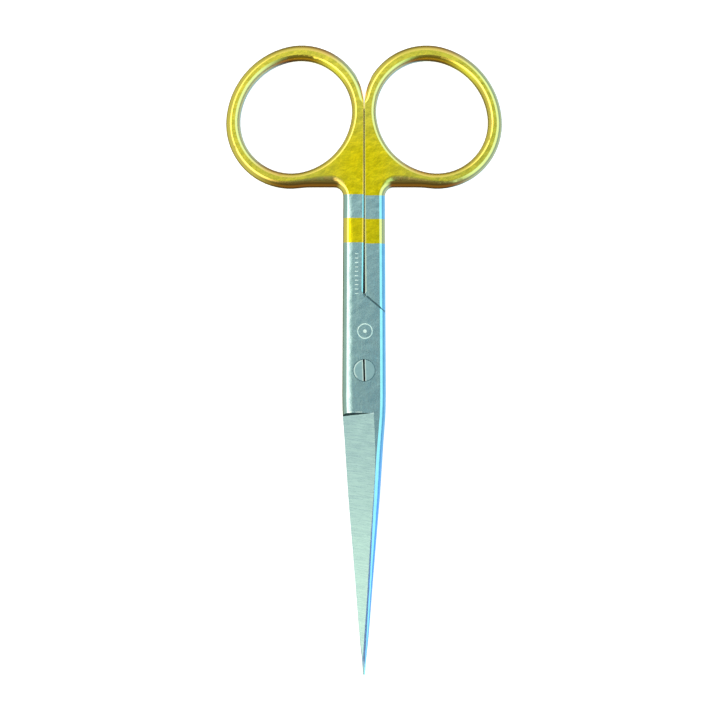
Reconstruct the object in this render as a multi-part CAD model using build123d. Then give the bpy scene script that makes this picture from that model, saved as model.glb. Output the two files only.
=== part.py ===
"""Small straight scissors with two round finger rings, lying flat and closed.

The object is three pieces. Two steel halves, each forged in one piece with its own ring, shank and
blade, cross in a half-lap joint, and one slotted screw holds them. The front half carries the left
ring and lies on top at the joint. The rear half is the same forging turned over about the long axis.

Frame, in millimetres: the origin is on the pivot axis, in the plane that the scissors rest on.
+Z is up, towards the screw head. +Y runs from the tips towards the rings. +X is to the right.
"""

from build123d import *
import math
import os

# Driving dimensions.
THICKNESS = 3.0  # the closed scissors, and each ring and shank
MIDDLE = THICKNESS / 2  # the height at which the two halves meet
LAP_GAP = 0.04  # running clearance between the two halves' inner faces
TIP_Y = -55.35  # the ring tops are 58.95 mm from the pivot: 114.3 mm over all

# Edges. A forging has rounded edges, and grinding then takes a little off its two flat faces.
GROUND_OFF = 0.03
FORGED = THICKNESS + 2 * GROUND_OFF
OUTER_ROUND = 1.32
RING_INNER_ROUND = 1.1
SLIT_BREAK = 0.22  # in the broad face
SLIT_BREAK_DEPTH = 0.14
SHOULDER_BREAK = 0.1

# Finger rings: slightly oval, with the long axis pointing down and outwards.
RING_X = 12.35
RING_Y = 46.0
RING_OUTER = (13.35, 12.2, 11.7, 52.0)  # half length, half width, radius of the ends, tilt
RING_INNER = (10.6, 9.7, 9.3, 48.0)

# Shanks.
SHANK_TOP_Y = 33.25  # underside of the ring, where the shank starts
SHANK_TOP_HALF = 3.78
BAR_HALF = 3.97  # half width at the pivot
BAR_END_Y = -4.5  # the blade starts to taper here
RING_CORNER = 1.65
RING_BLEND = 18.0
ROUND_END_Y = 48.6  # the ring's outer round turns away from the slit here
CONTACT_TOP_Y = 47.3  # the two rings touch below this height
CONTACT_CURVE = 14.0  # above it they are ground away from each other in an arc
CONTACT_HALF_GAP = 0.005
CONTACT_END_Y = 38.0
SLIT_END_Y = 14.1
SLIT_FOOT_Y = 13.4

# Below the contact the shanks' inner faces lean apart towards both broad faces, from the middle
# outwards, so the slit is a groove that widens and deepens downwards and shows no light.
GROOVE_HALF = 0.24  # at its lower end, in the broad face
GROOVE_DEPTH = 1.3

# The shoulder: each shank ends on the other half's lap in a slanting step.
SHOULDER_INNER = (0.36, 13.54)
SHOULDER_OUTER = (4.05, 10.4)
SHOULDER_GAP = 0.14

# Blade stations: distance from the pivot, half width, height of the back above the middle, and
# how far the flat of the back is ground below its rounds.
BLADE_STATIONS = (
    (BAR_END_Y, BAR_HALF - 0.005, MIDDLE - 0.005, GROUND_OFF),
    (-6.5, 3.94, MIDDLE - 0.005, GROUND_OFF),
    (-8.5, 3.86, MIDDLE - 0.005, GROUND_OFF),
    (-11.0, 3.67, 1.485, 0.022),
    (-16.0, 3.33, 1.43, 0.005),
    (-22.6, 2.9, 1.25, 0.0),
    (-30.0, 2.295, 1.0, 0.0),
    (-40.0, 1.48, 0.7, 0.0),
    (-50.0, 0.66, 0.37, 0.0),
    (TIP_Y - 0.05, 0.215, 0.23, 0.0),
)
TIP_ROUND = 0.25

# Bevel: a flat ground from the back down to the cutting edge. It starts in a step.
BEVEL_START_Y = -7.7
BEVEL_START_HALF = 3.9
BEVEL_TOP_X = 1.75  # where the bevel meets the flat top beside the step
EDGE_THICKNESS = 0.14
EDGE_THICKNESS_AT_TIP = 0.25
STEP_LEAN = 26.0  # degrees that the step leans back from upright
BEVEL_ROOT = 0.4  # radius that the grinding wheel leaves at the step

# Hollow grind of the inner face: it starts in a step and fades out towards the tip.
HOLLOW_RADIUS = 25.0
HOLLOW_START_Y = -10.5
HOLLOW_END_Y = -50.0
HOLLOW_DEPTH = 0.12

# Pivot screw.
HEAD_RADIUS = 2.0
HEAD_HEIGHT = 0.8
STEM_RADIUS = 1.25
RUNNING_CLEARANCE = 0.04
THREAD_CLEARANCE = 0.005
SLOT_WIDTH = 0.34
SLOT_DEPTH = 0.42
SLOT_TURN = 2.0  # degrees from the long axis
RIM_BREAK = 0.07

FAR = 80.0  # larger than the object


def oval(centre, half_length, half_width, end_radius, tilt):
    """A face bounded by four tangent arcs, its length along a line tilted from X."""
    end_offset = half_length - end_radius
    side_radius = (end_offset**2 + half_width**2 - end_radius**2) / (
        2 * (half_width - end_radius)
    )
    side_offset = side_radius - half_width
    reach = side_radius / (side_radius - end_radius)
    join_x = reach * end_offset
    join_y = reach * side_offset - side_offset
    arcs = [
        ThreePointArc((join_x, -join_y), (half_length, 0), (join_x, join_y)),
        ThreePointArc((join_x, join_y), (0, half_width), (-join_x, join_y)),
        ThreePointArc((-join_x, join_y), (-half_length, 0), (-join_x, -join_y)),
        ThreePointArc((-join_x, -join_y), (0, -half_width), (join_x, -join_y)),
    ]
    return Pos(*centre) * Rot(Z=tilt) * make_face(arcs)


def polygon(*points):
    return make_face(Polyline(*points, close=True))


def nearest_vertex(face, x, y):
    return min(face.vertices(), key=lambda v: math.hypot(v.X - x, v.Y - y))


def forging_plan():
    """Outline of a half before its slit side is cut: ring, web, shank and bar in one closed curve."""
    ring = oval((-RING_X, RING_Y), *RING_OUTER)
    shank = polygon(
        (-RING_X, SHANK_TOP_Y),
        (-SHANK_TOP_HALF, SHANK_TOP_Y),
        (-BAR_HALF, BAR_END_Y),
        (BAR_HALF, BAR_END_Y),
        (SHANK_TOP_HALF, SHANK_TOP_Y),
        (SHANK_TOP_HALF, ROUND_END_Y),
        (-RING_X / 2, ROUND_END_Y),
    )
    plan = (ring + shank).face()
    plan = fillet(nearest_vertex(plan, -SHANK_TOP_HALF, SHANK_TOP_Y), RING_CORNER).face()
    plan = fillet(nearest_vertex(plan, -RING_X + 2, SHANK_TOP_Y), RING_BLEND).face()
    plan = fillet(nearest_vertex(plan, 0.1, ROUND_END_Y), RING_CORNER).face()
    return plan


def forging():
    """Ring, shank and bar with their rounded edges, as thick as the closed scissors."""
    blank = extrude(forging_plan(), FORGED)
    flat_edges = blank.edges().filter_by(Plane.XY)
    blank = fillet([e for e in flat_edges if e.center().Y > BAR_END_Y + 0.01], OUTER_ROUND)
    hole = extrude(oval((-RING_X, RING_Y), *RING_INNER), FORGED)
    blank = blank - hole
    hole_edges = [
        e
        for e in blank.edges().filter_by(Plane.XY)
        if math.hypot(e.center().X + RING_X, e.center().Y - RING_Y) < RING_INNER[0]
    ]
    blank = fillet(hole_edges, RING_INNER_ROUND)
    return Pos(Z=-GROUND_OFF) * blank


def blade_section(y, half, height, ground):
    """Cross-section of the blade before it is bevelled: flat inner face, rounded outer corners."""
    base = MIDDLE + LAP_GAP / 2
    top = MIDDLE + height
    radius = OUTER_ROUND * (top + ground - base) / (MIDDLE + GROUND_OFF - LAP_GAP / 2)
    shoulder = top + ground - radius
    reach = math.acos(1 - ground / radius)  # where grinding cut the round short
    flat = half - radius * (1 - math.sin(reach))
    bend = (math.pi / 2 - reach) / 2
    bend_x = half - radius * (1 - math.cos(bend))
    bend_z = shoulder + radius * math.sin(bend)
    outline = [
        Line((-half, y, base), (half, y, base)),
        Line((half, y, base), (half, y, shoulder)),
        ThreePointArc((half, y, shoulder), (bend_x, y, bend_z), (flat, y, top)),
        Line((flat, y, top), (-flat, y, top)),
        ThreePointArc((-flat, y, top), (-bend_x, y, bend_z), (-half, y, shoulder)),
        Line((-half, y, shoulder), (-half, y, base)),
    ]
    return Face(Wire(outline))


def blade_blank():
    return loft([blade_section(*station) for station in BLADE_STATIONS])


def shoulder_line(side, outwards):
    """The slanting step's line on one side, moved outwards by half of its gap, and made long."""
    along = Vector(SHOULDER_OUTER) - Vector(SHOULDER_INNER)
    normal = Vector(-along.Y, along.X).normalized()
    shift = normal * (SHOULDER_GAP / 2) * outwards
    start = Vector(SHOULDER_INNER) + shift
    end = Vector(SHOULDER_INNER) + along * 2 + shift
    return (side * start.X, start.Y), (side * end.X, end.Y)


def groove_cutter():
    """The front half's side of the groove in the top: a leaning face that ends in a short slant."""
    side = -CONTACT_HALF_GAP
    deep = Vector(side, SLIT_END_Y, THICKNESS - GROOVE_DEPTH)
    wide = Vector(-GROOVE_HALF, SLIT_END_Y, THICKNESS)
    upper = Vector(side, CONTACT_END_Y, THICKNESS)
    along = (upper - wide).normalized()
    normal = along.cross(wide - deep).normalized()
    lean = Plane(origin=deep, x_dir=along, z_dir=normal)
    opened = lean * Box(FAR, FAR, 10, align=(Align.CENTER, Align.CENTER, Align.MIN))
    ends = ((1, SLIT_FOOT_Y), (1, CONTACT_END_Y), (side, CONTACT_END_Y))
    plan = polygon(*ends, (-GROOVE_HALF, SLIT_END_Y), (side, SLIT_FOOT_Y))
    return opened & extrude(plan, FAR)


def contact_waste():
    """Metal ground off above the contact, outside an arc that leaves the slit side smoothly."""
    centre_x = -CONTACT_HALF_GAP - CONTACT_CURVE
    beside = polygon(
        (centre_x, CONTACT_TOP_Y), (FAR, CONTACT_TOP_Y), (FAR, FAR), (centre_x, FAR)
    )
    return extrude(beside - Pos(centre_x, CONTACT_TOP_Y) * Circle(CONTACT_CURVE), FAR, both=True)


def upper_waste():
    """What the upper layer loses: everything right of the slit and above the right shoulder."""
    start, end = shoulder_line(1, -1)
    side = -CONTACT_HALF_GAP
    plan = polygon((side, FAR), (side, SLIT_FOOT_Y), start, end, (FAR, end[1]), (FAR, FAR))
    return extrude(plan, FAR)


def lower_waste():
    """What the lower layer loses: everything right of the slit and below the left shoulder."""
    start, end = shoulder_line(-1, 1)
    side = -CONTACT_HALF_GAP
    plan = polygon(
        (side, FAR), (side, SLIT_END_Y), start, end, (-FAR, end[1]), (-FAR, -FAR), (FAR, -FAR), (FAR, FAR)
    )
    height = MIDDLE + LAP_GAP / 2 + 1
    return Pos(Z=-1) * extrude(plan, height)


def break_edges(body):
    """Takes the sharpness off the edges along the slit and along the two shoulders."""
    for side in (Axis.Z, -Axis.Z):
        face = body.faces().filter_by(Plane.XY).sort_by(side)[-1]
        slit = [
            e
            for e in face.edges()
            if abs(e.center().X) < 0.2 and SLIT_END_Y < e.center().Y < ROUND_END_Y
        ]
        body = chamfer(slit, SLIT_BREAK, SLIT_BREAK_DEPTH, reference=face)
    for side in (Axis.Z, -Axis.Z):
        face = body.faces().filter_by(Plane.XY).sort_by(side)[-1]
        shoulder = [
            e
            for e in face.edges()
            if abs(e.center().X) < BAR_HALF - OUTER_ROUND
            and SHOULDER_OUTER[1] < e.center().Y < SLIT_END_Y
        ]
        body = chamfer(shoulder, SHOULDER_BREAK)
    return body


def bevel_cutter():
    """The metal that grinding removes above the bevel."""
    at_step = Vector(-BEVEL_START_HALF, BEVEL_START_Y, MIDDLE + EDGE_THICKNESS)
    at_tip = Vector(-BLADE_STATIONS[-1][1], TIP_Y, MIDDLE + EDGE_THICKNESS_AT_TIP)
    at_top = Vector(BEVEL_TOP_X, BEVEL_START_Y, THICKNESS)
    across = (at_top - at_step).normalized()
    normal = across.cross(at_step - at_tip).normalized()
    bevel = Plane(origin=at_step, x_dir=across, z_dir=normal)
    above = bevel * Box(FAR, 2 * FAR, 10, align=(Align.CENTER, Align.CENTER, Align.MIN))
    step = Pos(0, BEVEL_START_Y, THICKNESS) * Rot(X=-STEP_LEAN)
    beyond = step * Box(FAR, FAR, FAR, align=(Align.CENTER, Align.MAX, Align.CENTER))
    cutter = above & beyond
    root = cutter.edges().group_by(Axis.Y)[-1].sort_by(Axis.Z)[0]
    return fillet(root, BEVEL_ROOT)


def hollow_cutter():
    """A long cylinder, slightly tilted, that dips into the inner face and leaves a flat rim."""
    crest = MIDDLE + LAP_GAP / 2 + HOLLOW_DEPTH
    start = (0, HOLLOW_START_Y, crest - HOLLOW_RADIUS)
    towards_tip = (0, HOLLOW_END_Y - HOLLOW_START_Y, -HOLLOW_DEPTH)
    wheel = Cylinder(HOLLOW_RADIUS, FAR, align=(Align.CENTER, Align.CENTER, Align.MIN))
    return Plane(origin=start, z_dir=towards_tip) * wheel


def tip_waste():
    """The corners that rounding takes off the tip."""
    end = Pos(0, TIP_Y + TIP_ROUND)
    square = end * Rectangle(1, 1, align=(Align.CENTER, Align.MAX))
    return extrude(square - end * Circle(TIP_ROUND), FORGED)


def half():
    """The front half without its pivot hole."""
    body = forging() - upper_waste() - lower_waste() - contact_waste()
    top_groove = groove_cutter()
    body = body - top_groove - mirror(top_groove, Plane.XY.offset(MIDDLE))
    body = body & Box(2 * FAR, 2 * FAR, THICKNESS, align=(Align.CENTER, Align.CENTER, Align.MIN))
    body = break_edges(body) + blade_blank()
    return body - bevel_cutter() - hollow_cutter() - tip_waste()


def upright(radius, low, high):
    """A cylinder on the pivot axis between two heights."""
    length = high - low
    return Pos(Z=low) * Cylinder(radius, length, align=(Align.CENTER, Align.CENTER, Align.MIN))


def front_half():
    seat = THICKNESS - HEAD_HEIGHT - LAP_GAP / 2
    stem_hole = upright(STEM_RADIUS + RUNNING_CLEARANCE, 0, THICKNESS)
    head_recess = upright(HEAD_RADIUS + RUNNING_CLEARANCE, seat, THICKNESS + 1)
    return half() - stem_hole - head_recess


def rear_half():
    turned = Pos(Z=THICKNESS) * Rot(Y=180) * half()
    return turned - upright(STEM_RADIUS, -1, THICKNESS)


def pivot_screw():
    head = upright(HEAD_RADIUS, THICKNESS - HEAD_HEIGHT, THICKNESS)
    head = chamfer(head.edges().group_by(Axis.Z)[-1], RIM_BREAK)
    stem = upright(STEM_RADIUS - THREAD_CLEARANCE, 0, THICKNESS - HEAD_HEIGHT)
    stem = chamfer(stem.edges().group_by(Axis.Z)[0], RIM_BREAK)
    slot = Box(SLOT_WIDTH, 3 * HEAD_RADIUS, 2 * SLOT_DEPTH)
    return head + stem - Pos(Z=THICKNESS) * Rot(Z=SLOT_TURN) * slot


def main():
    os.makedirs("parts", exist_ok=True)
    nodes = {
        "front_half": front_half(),
        "rear_half": rear_half(),
        "pivot_screw": pivot_screw(),
    }
    for name, shape in nodes.items():
        export_step(shape, f"parts/{name}.step")


main()
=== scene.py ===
"""Straight scissors lying closed on a pale floor, seen from straight above. Metres, in the CAD frame.

Inside the materials lengths are in millimetres. The pivot's axis is at x = 0 and y = 0, the tips point
along -y, and the floor is at z = 0.
"""

import math

import bpy
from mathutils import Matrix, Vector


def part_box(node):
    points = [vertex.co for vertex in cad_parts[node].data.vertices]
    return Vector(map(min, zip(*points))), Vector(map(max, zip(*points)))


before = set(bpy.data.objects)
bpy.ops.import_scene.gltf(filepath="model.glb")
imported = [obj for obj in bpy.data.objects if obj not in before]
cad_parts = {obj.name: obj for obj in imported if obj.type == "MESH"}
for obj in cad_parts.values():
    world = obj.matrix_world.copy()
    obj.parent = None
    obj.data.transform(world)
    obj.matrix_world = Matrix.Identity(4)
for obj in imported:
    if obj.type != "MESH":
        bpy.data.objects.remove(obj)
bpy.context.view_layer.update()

MM = 0.001

# Places on the scissors, in millimetres. A pair is both ends of a stretch or of a gradual change.
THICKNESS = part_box("front_half")[1].z / MM
PLATING_START = 31.85  # the rings are plated above this line
BAND = (23.15, 27.6)  # and so is a band round the shanks
REAR_SHIFT = -0.2  # the rear half was masked a little lower before plating
PLATING_WAVE = 0.12  # how far the plating's edges wander
PLATING_SOFT = 0.04
BEVEL_START = -7.7
BEVEL_STEP = (BEVEL_START - 0.05, BEVEL_START - 0.15)
LIP = (BEVEL_START + 0.06, BEVEL_START + 0.26)  # the edge above the bevel's step, which carries a painted highlight
LIP_RIGHT_END = (1.4, 0.4)
SHOULDERS = (9.5, 14.2)
SHANK_TOP = (34.0, 30.0)  # the flats are crowned below this
WEB_MIDDLE = 37.0
RING_START = (33.0, 35.0)
RING_FROM_WEB = (2.0, 11.0)  # distances from the web's middle between which its gold turns into the rings'
RING_TOP = (50.0, 54.0)
SLIT_HALF = 0.45  # half the width of the slit between the shanks, with its rounded edges
SLIT_EDGE_START = (12.0, 13.0)
SLIT_SHADE_START = 12.5
GROOVE_HALF = 0.11  # half the width of the groove between the halves, which is painted dark as shade
GROOVE_END = 47.3  # the rings part here
TOP_SKIN = (THICKNESS - 0.05, THICKNESS - 0.02)  # z of the uppermost faces, without their rounds
TIP_AND_HEEL = (-50.0, -8.0)  # where the bevel's painted light is strongest and weakest
BLUE_BLADE = (-36.0, -8.0)  # where the painted blue reflection is strongest, and where it starts
# the painted highlight at the blade's end: full below the first value, gone above the second
PALE_TIP = (-55.0, -52.0)

# Which way a face looks, as a part of its normal. The change is complete at the second value.
BROAD = (0.985, 0.998)  # z of the broad flat faces
TOP_FACE = (0.99, 0.998)
UPRIGHT = (0.6, 0.4)  # z of the side faces
ENDWAYS = (0.5, 0.6)  # y of the shoulders' faces
BEVEL_TILT = (0.16, 0.34)  # x of the bevel, between these
BEVEL_RISE = (0.9, 0.94)  # z of the bevel
SLIT_EDGE_TILT = (-0.4, -0.6)  # x of the slit's right edge
GOLD_TO_RIGHT = (-0.2, 0.4)  # x of the rounds where the gold takes a redder painted tint, set against the blue light from the right
RING_INSIDE_X = (0.25, 0.0)  # the inside of a ring's top looks along -y, and not to the right; it carries a painted highlight
RING_INSIDE_Y = (-0.2, -0.5)

# The round under the rings' webs: how far it reaches up, beside the shanks and further out.
WEB_EDGE = (32.3, 32.8)
WEB_REACH = (2.6, 1.6)
WEB_SPAN = (6.0, 14.0)
WEB_TO_SHANK = 3.0
WEB_SHADE = (0.02, 0.2)  # how far inside the round the gold turns to its painted shade

# Grain: how fine each noise is along x, y and z.
MOTTLE_FINENESS = (1.0, 0.55, 1.0)
STREAK_FINENESS = (9.0, 0.55, 9.0)
GROUND_FINENESS = (0.35, 7.0, 0.35)
GROUND_SWAY = 0.35  # how far the lines across the bevel are from straight
GROUND_SWAY_RATE = 0.5
GROUND_LINE = (0.36, 0.64)  # where the noise across the blade turns from dark to light
RAGGED = (0.42, 0.62)

# Heights of the finish, in millimetres.
CROWN = 0.004  # fall of the flats, per square millimetre of distance from the middle
ROLL = 0.12  # the same for their left edge, from ROLL_START outwards
ROLL_START = 2.0
WAVE_HEIGHT = 0.08
STREAK_HEIGHT = 0.006
GROUND_HEIGHT = 0.02
GROUND_WAVES = 0.4  # share of the waves that is left on the bevel
WEB_FALL = 1.5

# Shares: how much of one colour is mixed into another.
STEEL_PATCHES = (0.7, 0.25)  # by the mottle and by the cloud
GOLD_PATCHES = (0.5, 0.4)
GROUND_LINES = 0.32
GROUND_TO_HEEL = (0.55, 0.06)  # painted lightening of the bevel at the tip and at the heel
BLUE_SHARE = 0.85
PALE_SHARE = 0.6
RING_SHARE = 0.9
GAP_SHADE_SHARE = 0.95
BRIGHT_SHARE = 0.6
ETCH_SHARE = 0.55

# Roughness of each finish, between two values by its grain.
ROUGH_FLAT = (0.2, 0.32)
ROUGH_ROUND = (0.14, 0.2)
ROUGH_GOLD = (0.2, 0.3)
ROUGH_BEVEL = (0.22, 0.34)
ROUGH_SCREW = (0.26, 0.4)
ROUGH_ETCH = 0.5

# Etched marks on the front half, in millimetres.
TICKS_X = -1.35
TICKS_Y = (13.8, 21.8)
TICK_HALF = 0.3
TICK_PITCH = 0.8
TICK_PART = (0.3, 0.48)  # the part of each pitch that is etched
RING_MARK = (0.15, 7.1)
RING_MARK_RADII = (1.22, 1.4)
DOT_RADIUS = (0.36, 0.3)
MARK_SOFT = 0.03

# Pivot screw, in millimetres: the slot in its head, whose floor is painted dark as shade, and painted
# highlights on its lips and along an arc on the left of its rim.
SLOT_TURN = 2.0  # degrees
SLOT_HALF = 0.19
SLOT_LIP = 0.34
RIM = (1.68, 1.88)
HEAD_TOP = (THICKNESS - 0.1, THICKNESS - 0.05)
SLOT_DEPTH = (THICKNESS - 0.02, THICKNESS - 0.08)
ARC_END = (-0.6, -1.2)
ARC_LEAN = -0.25
TURNING_FINENESS = 9.0
TURNING_HEIGHT = 0.003

# Linear colours of the metals, and of the painted highlights, reflections and shade on them.
STEEL = (0.25, 0.375, 0.44, 1)
STEEL_LIGHT = (0.395, 0.535, 0.585, 1)
BEVEL = (0.105, 0.178, 0.213, 1)
BEVEL_LIGHT = (0.25, 0.4, 0.392, 1)
# a painted blue reflection towards the tip, and a painted highlight at the blade's end
TIP_BLUE_REFLECTION = (0.3, 0.44, 0.9, 1)
TIP_HIGHLIGHT = (0.75, 1.0, 1.0, 1)
# bright steel: the etched marks' colour, and the painted highlights on the slit's edge, above the bevel's
# step and on the screw
BRIGHT_STEEL = (0.95, 1.0, 0.98, 1)
GOLD = (0.82, 0.645, 0.014, 1)
GOLD_DEEP = (0.72, 0.5, 0.002, 1)
GOLD_RING = (0.62, 0.51, 0.065, 1)
# painted shade: a darker, paler gold for the round under the webs
GOLD_UNDER_SHADE = (0.62, 0.47, 0.13, 1)
GOLD_WARM = (0.7, 0.54, 0.12, 1)
# painted tints and highlights on the gold's rounds: redder against the blue light from the right, bright
# on the slit's edge and inside the rings' tops
GOLD_RED = (0.8, 0.46, 0.17, 1)
GOLD_SLIT = (0.9, 0.38, 0.05, 1)
GOLD_INSIDE_HIGHLIGHT = (1.0, 0.86, 0.1, 1)
GOLD_EDGE_HIGHLIGHT = (1.0, 0.85, 0.25, 1)
# painted shade in the slit, the shoulders' gaps and the groove between the halves
GAP_SHADE = (0.02, 0.018, 0.03, 1)
# painted shade on the floor of the screw's slot
SLOT_SHADE = (0.01, 0.012, 0.02, 1)
WHITE = (1, 1, 1, 1)

# The studio as metal sees it: on each of its four sides, the colour of the light by the angle from
# straight up, in degrees.
STUDIO_MAX = 4.0  # a ramp's colours stay below 1, so they are divided by this
OVERHEAD = (0.42, 0.52, 0.53)
LEFT = (
    (0, OVERHEAD), (10, (0.58, 0.8, 0.66)), (17, (0.85, 1.2, 0.92)), (24, (3.6, 3.2, 2.7)),
    (43, (3.6, 3.2, 2.7)), (54, (0.82, 0.95, 0.74)), (118, (0.78, 0.88, 0.62)), (130, (0.3, 0.3, 0.14)),
)
RIGHT = (
    (0, OVERHEAD), (8, (0.34, 0.43, 0.46)), (17, (0.34, 0.43, 0.46)),
    (21, (1.1, 2.2, 2.1)), (62, (1.1, 2.2, 2.1)), (72, (0.34, 0.84, 1.3)), (96, (0.34, 0.84, 1.3)),
    (106, (0.66, 1.25, 1.85)), (160, (0.4, 0.8, 1.2)),
)
BACK = (
    (0, OVERHEAD), (9, (0.7, 0.82, 0.76)), (18, (1.6, 1.7, 1.5)), (27, (1.15, 1.35, 1.1)),
    (60, (1.0, 1.15, 0.9)), (85, (0.6, 0.6, 0.45)), (100, (0.35, 0.36, 0.28)), (150, (0.22, 0.2, 0.14)),
)
FRONT = (
    (0, OVERHEAD), (7, (0.4, 0.45, 0.42)), (16, (0.2, 0.2, 0.16)), (62, (0.1, 0.085, 0.06)),
    (80, (0.26, 0.17, 0.08)), (110, (0.35, 0.2, 0.08)), (130, (0.1, 0.07, 0.05)),
)
FRONT_TO_BACK = (-0.5, 0.3)  # where one side's light turns into the next one's, by direction
TO_RIGHT = (0.25, 0.75)
TO_LEFT = (-0.25, -0.75)
STUDIO_PLAIN = 0.6  # strength of the white light that matt surfaces see

# The floor glows a little, so that it looks evenly white in the flat light of the studio. Metres.
FLOOR_SIZE = 6.0
FLOOR_COLOR = (0.9, 0.9, 0.9, 1)
FLOOR_GLOW = 0.75
SOFTBOX_SIZE = 1.2
SOFTBOX_PLACE = (-0.3, 0.3, 0.9)
SOFTBOX_RADIANCE = 0.3

# Camera: straight above. The view's width is at the scissors' middle plane. Millimetres.
VIEW_CENTRE = (-0.74, 1.87)
VIEW_WIDTH = 130.9
CAMERA_DISTANCE = 300.0
SENSOR_WIDTH = 36.0
CLIP_START = 10.0


class Nodes:
    """A material or world tree that is written as sums: each call returns the output of what it adds."""

    def __init__(self, tree):
        self.tree = tree
        tree.nodes.clear()

    def new(self, kind, out=0, inputs=None, **settings):
        """Adds one node and returns that output, or the node itself where out is None."""
        node = self.tree.nodes.new(kind)
        for key, value in settings.items():
            setattr(node, key, value)
        for key, value in (inputs or {}).items():
            self.set(node.inputs[key], value)
        return node if out is None else node.outputs[out]

    def set(self, socket, value):
        if isinstance(value, bpy.types.NodeSocket):
            self.tree.links.new(value, socket)
        else:
            socket.default_value = value

    def math(self, operation, a, b=0.0, clamp=False):
        return self.new("ShaderNodeMath", inputs={0: a, 1: b}, operation=operation, use_clamp=clamp)

    def plus(self, a, b, clamp=False):
        return self.math("ADD", a, b, clamp)

    def minus(self, a, b):
        return self.math("SUBTRACT", a, b)

    def times(self, a, b):
        return self.math("MULTIPLY", a, b)

    def over(self, a, b):
        return self.math("DIVIDE", a, b)

    def square(self, a):
        return self.times(a, a)

    def absolute(self, a):
        return self.math("ABSOLUTE", a)

    def positive(self, a):
        """a where it is above 0, and 0 elsewhere."""
        return self.math("MAXIMUM", a, 0.0)

    def distance(self, a, b):
        """How far the point (a, b) is from (0, 0)."""
        return self.math("SQRT", self.plus(self.square(a), self.square(b)))

    def step(self, value, low, high, to_low=0.0, to_high=1.0):
        """A smooth step: to_low below low, to_high above high."""
        return self.new(
            "ShaderNodeMapRange",
            inputs={"Value": value, 1: low, 2: high, 3: to_low, 4: to_high},
            interpolation_type="SMOOTHSTEP",
        )

    def below(self, value, start, full):
        """A smooth step down the values: 0 above start, 1 below full."""
        return self.step(value, full, start, 1.0, 0.0)

    def both(self, a, b):
        """1 where two masks are both 1."""
        return self.times(a, b)

    def either(self, a, b):
        """1 where one of two masks is 1."""
        return self.math("MAXIMUM", a, b)

    def within(self, value, low, high, soft):
        """1 between low and high, 0 outside, with soft edges."""
        above_low = self.step(value, low - soft, low + soft)
        below_high = self.below(value, high + soft, high - soft)
        return self.both(above_low, below_high)

    # The mix node has sockets for each kind of value: 2 and 3 take numbers, and 6 and 7 take colours.

    def mix(self, share, a, b):
        """A colour between a and b."""
        return self.new("ShaderNodeMix", out=2, inputs={0: share, 6: a, 7: b}, data_type="RGBA")

    def blend(self, share, a, b):
        """A number between a and b."""
        return self.new("ShaderNodeMix", inputs={0: share, 2: a, 3: b}, data_type="FLOAT")

    def vector(self, x, y, z):
        return self.new("ShaderNodeCombineXYZ", inputs={0: x, 1: y, 2: z})

    def split(self, vector):
        node = self.new("ShaderNodeSeparateXYZ", out=None, inputs={0: vector})
        return node.outputs[0], node.outputs[1], node.outputs[2]

    def ramp(self, value, stops):
        """A colour that changes with value, between stops of (value, colour)."""
        node = self.new("ShaderNodeValToRGB", out=None, inputs={0: value})
        elements = node.color_ramp.elements
        while len(elements) < len(stops):
            elements.new(0.5)
        for element, (at, color) in zip(elements, stops):
            element.position = at
            element.color = (*color, 1)
        return node.outputs[0]

    def noise(self, place, scale, detail=3.0, rough=0.5):
        return self.new(
            "ShaderNodeTexNoise",
            inputs={"Vector": place, "Scale": scale, "Detail": detail, "Roughness": rough},
        )

    def metal(self, color, rough, bump):
        """The finished surface of a metal piece."""
        shader = self.new(
            "ShaderNodeBsdfPrincipled",
            inputs={"Base Color": color, "Metallic": 1.0, "Roughness": rough, "Normal": bump},
        )
        self.new("ShaderNodeOutputMaterial", out=None, inputs={"Surface": shader})


class Point:
    """Where a point of a surface is, in millimetres, and which way it faces."""

    def __init__(self, n):
        coords = n.new("ShaderNodeTexCoord", out=None)
        self.place = n.new(
            "ShaderNodeVectorMath", inputs={0: coords.outputs["Object"], 3: 1 / MM}, operation="SCALE"
        )
        self.x, self.y, self.z = n.split(self.place)
        self.normal_x, self.normal_y, self.normal_z = n.split(coords.outputs["Normal"])


class Grain:
    """The noises of a forged, ground and polished half, each between 0 and 1."""

    def __init__(self, n, at):
        sway = n.times(n.math("SINE", n.times(at.x, GROUND_SWAY_RATE)), GROUND_SWAY)
        mottled = stretched(n, at.x, at.y, at.z, MOTTLE_FINENESS)
        streaked = stretched(n, at.x, at.y, at.z, STREAK_FINENESS)
        ground = stretched(n, at.x, n.plus(at.y, sway), at.z, GROUND_FINENESS)
        self.cloud = n.noise(at.place, scale=0.35, detail=4.0)
        self.waves = n.noise(at.place, scale=0.6, detail=2.0)
        self.fine = n.noise(at.place, scale=14.0, detail=2.0)
        self.mottle = n.noise(mottled, scale=1.0)
        self.along = n.noise(streaked, scale=1.0, detail=4.0, rough=0.6)
        self.across = n.noise(ground, scale=1.0, detail=5.0, rough=0.65)


def stretched(n, x, y, z, fineness):
    """Coordinates for a grain: a larger factor is a finer grain along that axis."""
    along_x, along_y, along_z = fineness
    return n.vector(n.times(x, along_x), n.times(y, along_y), n.times(z, along_z))


def new_material(name):
    """A new material, and its empty tree."""
    mat = bpy.data.materials.new(name)
    mat.use_nodes = True
    return mat, Nodes(mat.node_tree)


# Masks of a half: each is 1 where its finish lies, and 0 elsewhere.


def plating(n, at, turned):
    """The rings and the band, with edges that wander a little."""
    wander = n.times(n.noise(at.place, scale=1.6), PLATING_WAVE)
    shift = REAR_SHIFT if turned < 0 else 0.0
    level = n.plus(n.plus(at.y, wander), -PLATING_WAVE / 2 - shift)
    rings = n.step(level, PLATING_START - PLATING_SOFT, PLATING_START + PLATING_SOFT)
    return n.either(rings, n.within(level, *BAND, soft=PLATING_SOFT))


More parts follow.
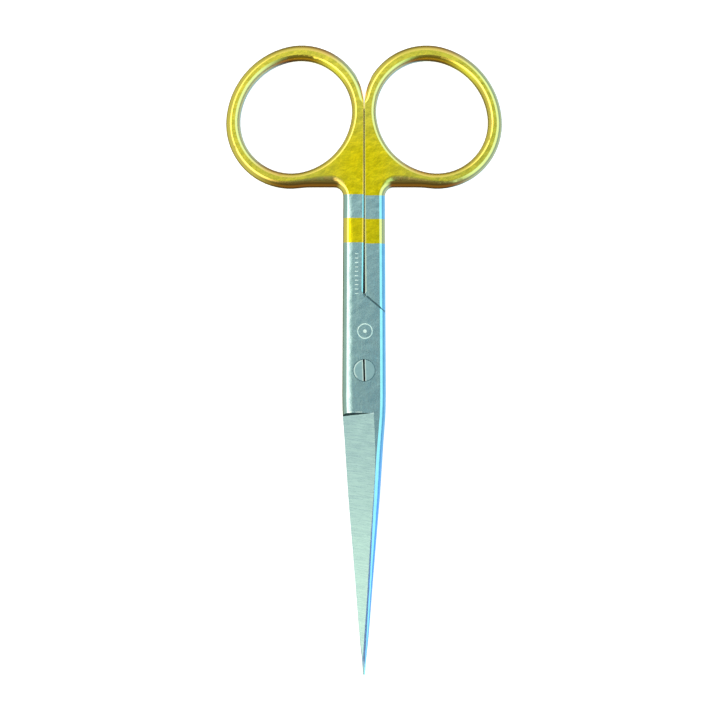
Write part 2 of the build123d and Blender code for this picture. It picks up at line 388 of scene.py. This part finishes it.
def bevel_face(n, at, outward, turned):
    """The bevel of the blade on this half's own side."""
    to_edge = n.times(at.normal_x, -turned)
    tilted = n.both(n.within(to_edge, *BEVEL_TILT, soft=0.02), n.step(outward, *BEVEL_RISE))
    return n.both(n.below(at.y, *BEVEL_STEP), tilted)


def web_round(n, at):
    """The round under the webs, which widens towards the shanks: 0 at its upper edge, 1 far inside it."""
    beside, far = WEB_SPAN
    side = n.absolute(at.x)
    from_shank = n.over(n.positive(n.minus(beside, side)), WEB_TO_SHANK)
    reach = n.step(side, beside, far, *WEB_REACH)
    above = n.over(n.positive(n.plus(at.y, -WEB_EDGE[1])), reach)
    depth = n.positive(n.minus(1.0, n.distance(from_shank, above)))
    return n.both(depth, n.step(at.y, *WEB_EDGE))


def slit_edge_highlight(n, at, near_slit):
    """The rounded edge on the right of the slit, which carries a painted highlight."""
    to_left = n.below(at.normal_x, *SLIT_EDGE_TILT)
    return n.both(near_slit, n.both(to_left, n.step(at.y, *SLIT_EDGE_START)))


def painted_gap_shade(n, at, near_slit):
    """Painted shade where little light reaches: the side faces in the slit, the faces in the shoulders'
    gaps, and the groove between the halves.
    """
    upright = n.below(n.absolute(at.normal_z), *UPRIGHT)
    in_slit = n.both(near_slit, n.within(at.y, SLIT_SHADE_START, PLATING_START, soft=1.0))
    endways = n.step(n.absolute(at.normal_y), *ENDWAYS)
    in_gap = n.both(endways, n.within(at.y, *SHOULDERS, soft=0.2))
    in_groove = n.both(
        n.within(at.x, -GROOVE_HALF, GROOVE_HALF, soft=0.02),
        n.within(at.y, SHOULDERS[1], GROOVE_END, soft=0.3),
    )
    return n.either(n.both(upright, n.either(in_slit, in_gap)), in_groove)


def lip_highlight(n, at, outward):
    """A painted highlight: the ragged bright edge above the bevel's step, fading to the right."""
    lip = n.both(n.within(at.y, *LIP, soft=0.05), n.below(at.x, *LIP_RIGHT_END))
    ragged = n.step(n.noise(at.place, scale=1.9, detail=2.0), *RAGGED)
    return n.both(n.both(lip, ragged), n.step(outward, *BROAD))


def etched_marks(n, at, outward):
    """Plain marks on the top of the front half: a row of fine ticks, and a small ring with a dot."""
    top = n.both(n.step(outward, *TOP_FACE), n.step(at.z, *TOP_SKIN))
    row = n.both(
        n.within(at.x, TICKS_X - TICK_HALF, TICKS_X + TICK_HALF, soft=MARK_SOFT),
        n.within(at.y, *TICKS_Y, soft=MARK_SOFT),
    )
    pitch = n.math("FRACT", n.times(at.y, 1 / TICK_PITCH))
    ticks = n.both(row, n.within(pitch, *TICK_PART, soft=0.04))
    radius = n.distance(n.plus(at.x, -RING_MARK[0]), n.plus(at.y, -RING_MARK[1]))
    ring = n.within(radius, *RING_MARK_RADII, soft=MARK_SOFT)
    dot = n.below(radius, *DOT_RADIUS)
    return n.both(top, n.either(ticks, n.either(ring, dot)))


# Colours, roughness and height of a half.


def patchy(n, grain, shares, dark, light):
    """A colour between dark and light, in patches. shares are of the mottle and of the cloud."""
    mottle = n.times(grain.mottle, shares[0])
    cloud = n.times(grain.cloud, shares[1])
    return n.mix(n.plus(mottle, cloud, clamp=True), dark, light)


def steel_color(n, at, grain, edge):
    """Bare steel, with a painted blue reflection towards the tip, a painted highlight at its end, and a
    painted highlight on the slit's edge.
    """
    color = patchy(n, grain, STEEL_PATCHES, STEEL, STEEL_LIGHT)
    # painted blue reflection towards the tip, and a painted highlight at the blade's end
    color = n.mix(n.step(at.y, *BLUE_BLADE, BLUE_SHARE, 0.0), color, TIP_BLUE_REFLECTION)
    color = n.mix(n.step(at.y, *PALE_TIP, PALE_SHARE, 0.0), color, TIP_HIGHLIGHT)
    # painted highlight on the slit's right edge
    return n.mix(edge, color, BRIGHT_STEEL)


def bevel_color(n, at, grain):
    """Lines of the grinding wheel across the blade, on steel with painted light that grows towards the
    tip.
    """
    lines = n.times(n.step(grain.across, *GROUND_LINE), GROUND_LINES)
    # painted light, growing towards the tip
    painted_tip_light = n.step(at.y, *TIP_AND_HEEL, *GROUND_TO_HEEL)
    return n.mix(n.plus(lines, painted_tip_light, clamp=True), BEVEL, BEVEL_LIGHT)


def gold_flat_color(n, at, grain, web):
    """Plating of the broad faces: deep on the web and the band, duller round the rings, and painted darker
    as shade in the round under the webs.
    """
    color = patchy(n, grain, GOLD_PATCHES, GOLD_DEEP, GOLD)
    from_web = n.distance(at.x, n.plus(at.y, -WEB_MIDDLE))
    on_ring = n.both(n.step(from_web, *RING_FROM_WEB, 0.0, RING_SHARE), n.step(at.y, *RING_START))
    color = n.mix(on_ring, color, GOLD_RING)
    # painted shade in the round under the webs
    return n.mix(n.step(web, *WEB_SHADE), color, GOLD_UNDER_SHADE)


def gold_side_color(n, at, near_slit, edge):
    """Plating of the rounds: a redder painted tint where they face right, set against the blue light
    there, and painted highlights on the slit's edge and on the inside of the rings' tops.
    """
    # redder painted tint against the blue light from the right
    to_right = n.mix(near_slit, GOLD_RED, GOLD_SLIT)
    color = n.mix(n.step(at.normal_x, *GOLD_TO_RIGHT), GOLD_WARM, to_right)
    # painted highlight on the slit's right edge
    color = n.mix(edge, color, GOLD_EDGE_HIGHLIGHT)
    # painted highlight on the inside of the rings' tops
    inside = n.both(n.below(at.normal_y, *RING_INSIDE_Y), n.below(at.normal_x, *RING_INSIDE_X))
    return n.mix(n.both(n.step(at.y, *RING_TOP), inside), color, GOLD_INSIDE_HIGHLIGHT)


def half_roughness(n, grain, broad, plated, bevel):
    """Each finish has its own roughness, and it varies with that finish's grain."""
    flat = n.blend(grain.along, *ROUGH_FLAT)
    gold = n.blend(grain.mottle, *ROUGH_GOLD)
    rounded = n.blend(grain.fine, *ROUGH_ROUND)
    rough = n.blend(broad, rounded, n.blend(plated, flat, gold))
    return n.blend(bevel, rough, n.blend(grain.across, *ROUGH_BEVEL))


def half_height(n, at, grain, broad, bevel, web):
    """Height in millimetres: the flats are slightly crowned and wavy, and everything is ground."""
    rolled = n.positive(n.plus(n.times(at.x, -1.0), -ROLL_START))
    crown = n.plus(n.times(n.square(at.x), -CROWN), n.times(n.square(rolled), -ROLL))
    crown = n.both(n.below(at.y, *SHANK_TOP), crown)
    waves = n.times(grain.waves, WAVE_HEIGHT)
    flat = n.plus(n.plus(crown, waves), n.times(grain.along, STREAK_HEIGHT))
    flat = n.plus(flat, n.times(n.square(web), -WEB_FALL))
    ground = n.plus(n.times(grain.across, GROUND_HEIGHT), n.times(waves, GROUND_WAVES))
    return n.blend(bevel, n.both(broad, flat), ground)


def half_material(name, turned):
    """Steel and plating of one half. turned is 1 on the front half and -1 on the rear one."""
    mat, n = new_material(name)
    at = Point(n)
    grain = Grain(n, at)
    outward = n.times(at.normal_z, turned)  # 1 on this half's own broad face
    broad = n.step(n.absolute(at.normal_z), *BROAD)
    plated = plating(n, at, turned)
    bevel = bevel_face(n, at, outward, turned)
    web = web_round(n, at)
    near_slit = n.within(at.x, -SLIT_HALF, SLIT_HALF, soft=0.05)
    # the painted highlight on the slit's right edge
    edge = slit_edge_highlight(n, at, near_slit)

    steel = steel_color(n, at, grain, edge)
    gold = n.mix(broad, gold_side_color(n, at, near_slit, edge), gold_flat_color(n, at, grain, web))
    color = n.mix(bevel, n.mix(plated, steel, gold), bevel_color(n, at, grain))
    # painted shade in the slit, the shoulders' gaps and the groove
    color = n.mix(n.times(painted_gap_shade(n, at, near_slit), GAP_SHADE_SHARE), color, GAP_SHADE)
    # painted highlight on the edge above the bevel's step
    color = n.mix(n.times(lip_highlight(n, at, outward), BRIGHT_SHARE), color, BRIGHT_STEEL)
    rough = half_roughness(n, grain, broad, plated, bevel)
    if turned > 0:
        marks = n.times(etched_marks(n, at, outward), ETCH_SHARE)
        color = n.mix(marks, color, BRIGHT_STEEL)
        rough = n.blend(marks, rough, ROUGH_ETCH)

    height = half_height(n, at, grain, broad, bevel, web)
    bump = n.new("ShaderNodeBump", inputs={"Strength": 1.0, "Distance": MM, "Height": height})
    n.metal(color, rough, bump)
    return mat


def screw_material():
    """Steel turned on a lathe. The slot's floor is painted dark as shade, and its lips and an arc of the
    rim carry painted highlights.
    """
    mat, n = new_material("screw_steel")
    at = Point(n)
    radius = n.distance(at.x, at.y)
    turning = n.noise(n.vector(n.times(radius, TURNING_FINENESS), 0.0, at.z), scale=1.0)
    color = n.mix(n.noise(at.place, scale=1.6, detail=5.0, rough=0.6), STEEL, STEEL_LIGHT)

    turn = math.radians(SLOT_TURN)
    side = n.plus(n.times(at.x, math.cos(turn)), n.times(at.y, math.sin(turn)))
    lips = n.within(side, -SLOT_LIP, SLOT_LIP, soft=0.03)
    on_left = n.below(n.plus(at.x, n.times(at.y, ARC_LEAN)), *ARC_END)
    arc = n.both(n.within(radius, *RIM, soft=0.05), on_left)
    top = n.step(at.z, *HEAD_TOP)
    # painted highlights on the slot's lips and on the rim's arc
    bright = n.times(n.both(n.either(lips, arc), top), BRIGHT_SHARE)
    color = n.mix(bright, color, BRIGHT_STEEL)
    # painted shade in the slot
    in_slot = n.both(n.within(side, -SLOT_HALF, SLOT_HALF, soft=0.01), n.below(at.z, *SLOT_DEPTH))
    color = n.mix(in_slot, color, SLOT_SHADE)

    depth = TURNING_HEIGHT * MM
    bump = n.new("ShaderNodeBump", inputs={"Strength": 0.2, "Distance": depth, "Height": turning})
    n.metal(color, n.blend(turning, *ROUGH_SCREW), bump)
    return mat


def assign(node, mat):
    """Gives a CAD node its finish."""
    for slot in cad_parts[node].material_slots:
        slot.material = mat


def add_floor():
    """A pale matt floor. The metal doesn't mirror it: it mirrors the studio only."""
    bpy.ops.mesh.primitive_plane_add(size=FLOOR_SIZE, location=(0, 0, 0))
    floor = bpy.context.object
    floor.name = "floor"
    floor.visible_glossy = False
    mat, n = new_material("floor")
    shader = n.new(
        "ShaderNodeBsdfPrincipled",
        inputs={
            "Base Color": FLOOR_COLOR,
            "Roughness": 0.8,
            "Specular IOR Level": 0.1,
            "Emission Color": WHITE,
            "Emission Strength": FLOOR_GLOW,
        },
    )
    n.new("ShaderNodeOutputMaterial", out=None, inputs={"Surface": shader})
    floor.data.materials.append(mat)


def add_world():
    """A soft studio round the scissors. Matt surfaces see plain white, and metal sees its four sides."""
    world = bpy.data.worlds.new("studio")
    bpy.context.scene.world = world
    world.use_nodes = True
    n = Nodes(world.node_tree)
    coords = n.new("ShaderNodeTexCoord", out=None)
    x, y, z = n.split(coords.outputs["Generated"])
    from_up = n.times(n.math("ARCCOSINE", z), 1 / math.pi)
    level = n.distance(x, y)
    toward_x = n.over(x, level)
    toward_y = n.over(y, level)

    def side(stops):
        """The light of one side of the studio."""
        scaled = [(angle / 180, [c / STUDIO_MAX for c in color]) for angle, color in stops]
        return n.ramp(from_up, scaled)

    color = n.mix(n.step(toward_y, *FRONT_TO_BACK), side(FRONT), side(BACK))
    color = n.mix(n.step(toward_x, *TO_RIGHT), color, side(RIGHT))
    color = n.mix(n.below(toward_x, *TO_LEFT), color, side(LEFT))
    mirrored = n.new("ShaderNodeBackground", inputs={"Color": color, "Strength": STUDIO_MAX})
    plain = n.new("ShaderNodeBackground", inputs={"Color": WHITE, "Strength": STUDIO_PLAIN})
    matt = n.new("ShaderNodeLightPath", out="Is Diffuse Ray")
    background = n.new("ShaderNodeMixShader", inputs={0: matt, 1: mirrored, 2: plain})
    n.new("ShaderNodeOutputWorld", out=None, inputs={"Surface": background})


def add_softbox():
    """A broad soft light overhead, for the floor only."""
    light = bpy.data.lights.new("softbox", "AREA")
    light.shape = "SQUARE"
    light.size = SOFTBOX_SIZE
    light.energy = SOFTBOX_RADIANCE * math.pi * SOFTBOX_SIZE**2
    softbox = bpy.data.objects.new("softbox", light)
    softbox.location = SOFTBOX_PLACE
    softbox.rotation_euler = (-softbox.location).to_track_quat("-Z", "Y").to_euler()
    softbox.visible_camera = False
    softbox.visible_glossy = False
    bpy.context.scene.collection.objects.link(softbox)


def add_camera():
    """Straight above, and looking down as a camera does that isn't turned."""
    data = bpy.data.cameras.new("camera")
    data.sensor_width = SENSOR_WIDTH
    data.lens = SENSOR_WIDTH * CAMERA_DISTANCE / VIEW_WIDTH
    data.clip_start = CLIP_START * MM
    camera = bpy.data.objects.new("camera", data)
    centre_x, centre_y = VIEW_CENTRE
    height = CAMERA_DISTANCE + THICKNESS / 2
    camera.location = (centre_x * MM, centre_y * MM, height * MM)
    bpy.context.scene.collection.objects.link(camera)
    bpy.context.scene.camera = camera


assign("front_half", half_material("front_finish", 1))
assign("rear_half", half_material("rear_finish", -1))
assign("pivot_screw", screw_material())

add_floor()
add_world()
add_softbox()
add_camera()
bpy.context.scene.view_settings.view_transform = "Standard"
